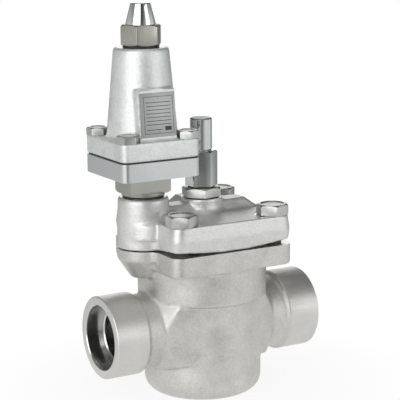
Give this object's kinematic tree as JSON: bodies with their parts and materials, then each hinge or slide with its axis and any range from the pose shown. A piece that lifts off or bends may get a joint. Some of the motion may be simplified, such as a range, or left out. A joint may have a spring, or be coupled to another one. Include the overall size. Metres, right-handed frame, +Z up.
{
  "type": "pressure regulating valve",
  "caption": "Pilot operated pressure regulating valve: square-flanged body with two in-line pipe sockets, bolted cover, manual opening spindle and spring-loaded pilot with a tall bonnet.",
  "frame": {"origin": "centre of the flat bottom of the body, under the axis of the servo piston", "axes": "+X along the flow, out of the outlet socket; +Z up along the piston and pilot axes; the nameplate faces -Y"},
  "size_m": [0.156, 0.0906, 0.2655],
  "materials": {
    "cast_steel": "blasted cast steel, matte light grey",
    "cast_cover": "blasted cast steel, matte and a little lighter",
    "machined_block": "finely machined, satin",
    "blasted_bonnet": "bead blasted, silver white",
    "turned_steel": "turned, satin",
    "zinc_bolt": "plated, satin",
    "bright_cap": "bright drawn steel",
    "nickel_cap": "nickel plated",
    "spring_steel": "drawn spring wire",
    "bronze_seat": "turned",
    "plate_metal": "satin, bare",
    "black_gasket": "matte",
    "seal_rubber": "matte",
    "white_seal": "matte"
  },
  "bodies": {
    "valve": {"valve_body": "cast_steel", "cover_gasket": "black_gasket", "top_cover": "cast_cover", "cover_bolts": "zinc_bolt", "guide_sleeve": "turned_steel", "seat_ring": "turned_steel", "sleeve_foot_oring": "seal_rubber", "sleeve_top_oring": "seal_rubber", "servo_spring": "spring_steel", "spindle_packing": "white_seal", "gland_gasket": "black_gasket", "gland_nut": "zinc_bolt", "pilot_joint_ring": "black_gasket", "pilot_tip_oring": "seal_rubber", "pilot_block": "machined_block", "pilot_seat": "turned_steel", "diaphragm_gasket": "black_gasket", "diaphragm": "spring_steel", "setting_spring": "spring_steel", "thrust_washer": "white_seal", "pilot_bonnet": "blasted_bonnet", "bonnet_bolts": "zinc_bolt", "nameplate": "plate_metal"},
    "piston": {"servo_piston": "turned_steel", "piston_ring": "white_seal", "throttle_cone": "turned_steel", "seal_disc": "white_seal", "cone_nut": "zinc_bolt"},
    "spindle_ring": {"spindle_stop_ring": "spring_steel"},
    "spindle": {"manual_spindle": "turned_steel"},
    "spindle_cap_ring": {"spindle_cap_seal": "black_gasket"},
    "spindle_cap": {"spindle_cap": "bright_cap"},
    "pilot_needle": {"pilot_needle": "turned_steel", "spring_plate": "bronze_seat"},
    "spring_nut": {"spring_nut": "bronze_seat"},
    "setting_spindle": {"setting_spindle": "turned_steel", "setting_spindle_oring": "seal_rubber"},
    "pilot_cap_ring": {"pilot_cap_seal": "black_gasket"},
    "pilot_cap": {"pilot_cap": "nickel_cap"}
  },
  "joints": [
    {"name": "servo_piston_travel", "type": "slide", "parent": "valve", "child": "piston", "axis": [0, 0, -1], "range_m": [0, 0.009], "stiffness_N_per_m": 300, "springref_m": -0.006, "deforming": ["servo_spring"]},
    {"name": "manual_spindle_travel", "type": "slide", "parent": "valve", "child": "spindle_ring", "axis": [0, 0, -1], "range_m": [0, 0.00901]},
    {"name": "manual_spindle_turn", "type": "hinge", "parent": "spindle_ring", "child": "spindle", "pos_m": [0, 0, 0.13], "axis": [0, 0, -1], "range_deg": [0, 2161]},
    {"name": "spindle_cap_travel", "type": "slide", "parent": "valve", "child": "spindle_cap_ring", "axis": [0, 0, 1], "range_m": [0, 0.009]},
    {"name": "spindle_cap_turn", "type": "hinge", "parent": "spindle_cap_ring", "child": "spindle_cap", "pos_m": [0, 0, 0.16], "axis": [0, 0, 1], "range_deg": [0, 2161]},
    {"name": "pilot_needle_lift", "type": "slide", "parent": "valve", "child": "pilot_needle", "axis": [0, 0, 1], "range_m": [0, 0.0006], "stiffness_N_per_m": 3000, "springref_m": -0.004, "deforming": ["diaphragm"]},
    {"name": "setting_spindle_turn", "type": "hinge", "parent": "valve", "child": "setting_spindle", "pos_m": [-0.0442, 0, 0.2], "axis": [0, 0, -1], "range_deg": [0, 2881]},
    {"name": "spring_nut_travel", "type": "slide", "parent": "valve", "child": "spring_nut", "axis": [0, 0, -1], "range_m": [0, 0.012], "stiffness_N_per_m": 400, "springref_m": -0.004, "deforming": ["setting_spring"]},
    {"name": "pilot_cap_travel", "type": "slide", "parent": "valve", "child": "pilot_cap_ring", "axis": [0, 0, 1], "range_m": [0, 0.009]},
    {"name": "pilot_cap_turn", "type": "hinge", "parent": "pilot_cap_ring", "child": "pilot_cap", "pos_m": [-0.0442, 0, 0.245], "axis": [0, 0, 1], "range_deg": [0, 2161]}
  ],
  "couplings": [
    {"joint": "manual_spindle_travel", "follows": "servo_piston_travel", "ratio": 1},
    {"joint": "manual_spindle_turn", "follows": "servo_piston_travel", "rad_per_m": 4188.8},
    {"joint": "spindle_cap_turn", "follows": "spindle_cap_travel", "rad_per_m": 4188.8},
    {"joint": "setting_spindle_turn", "follows": "spring_nut_travel", "rad_per_m": 4188.8},
    {"joint": "pilot_cap_turn", "follows": "pilot_cap_travel", "rad_per_m": 4188.8}
  ]
}
